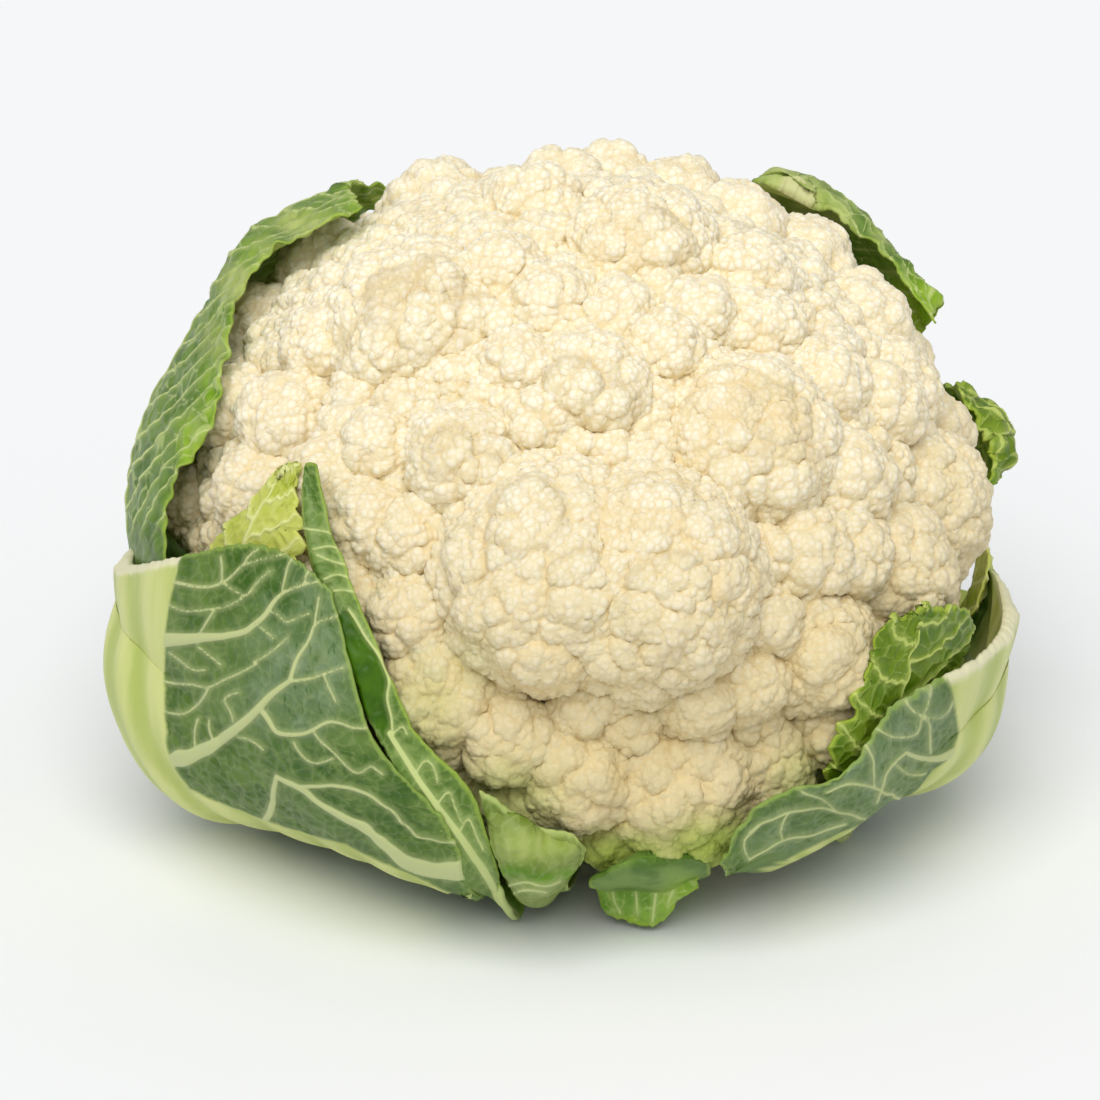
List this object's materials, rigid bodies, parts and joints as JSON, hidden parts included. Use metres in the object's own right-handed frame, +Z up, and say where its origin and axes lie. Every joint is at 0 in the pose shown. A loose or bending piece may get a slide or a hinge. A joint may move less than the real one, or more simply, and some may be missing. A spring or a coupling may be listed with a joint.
{
  "type": "cauliflower",
  "caption": "Whole cream cauliflower head with dense rounded florets, resting on its cut stem inside trimmed, veined green leaves.",
  "frame": {"origin": "centre of the stem's cut end, on the surface that the cauliflower rests on", "axes": "+Z up, +X to the right as seen from the front, -Y towards the front, where the curd leans"},
  "size_m": [0.193, 0.1759, 0.137],
  "materials": {
    "curd": "matt cream plant tissue, finely beaded",
    "stem": "pale green cut plant tissue, slightly moist",
    "leaf": "waxy grey-green leaf with pale veins",
    "young_leaf": "yellow-green young leaf, soft sheen"
  },
  "bodies": {
    "root": {"curd": "curd", "stem": "stem", "leaf_left": "leaf", "leaf_front_left": "leaf", "leaf_front_stub": "leaf", "leaf_front_right": "leaf", "leaf_right": "leaf", "leaf_right_rear": "young_leaf", "leaf_inner_left": "young_leaf", "leaf_inner_right": "young_leaf", "leaf_back_left": "leaf", "leaf_back_right": "leaf", "leaf_right_curl": "leaf", "leaf_rear_left": "leaf", "leaf_rear_right": "leaf", "stub_right": "stem"}
  },
  "joints": []
}
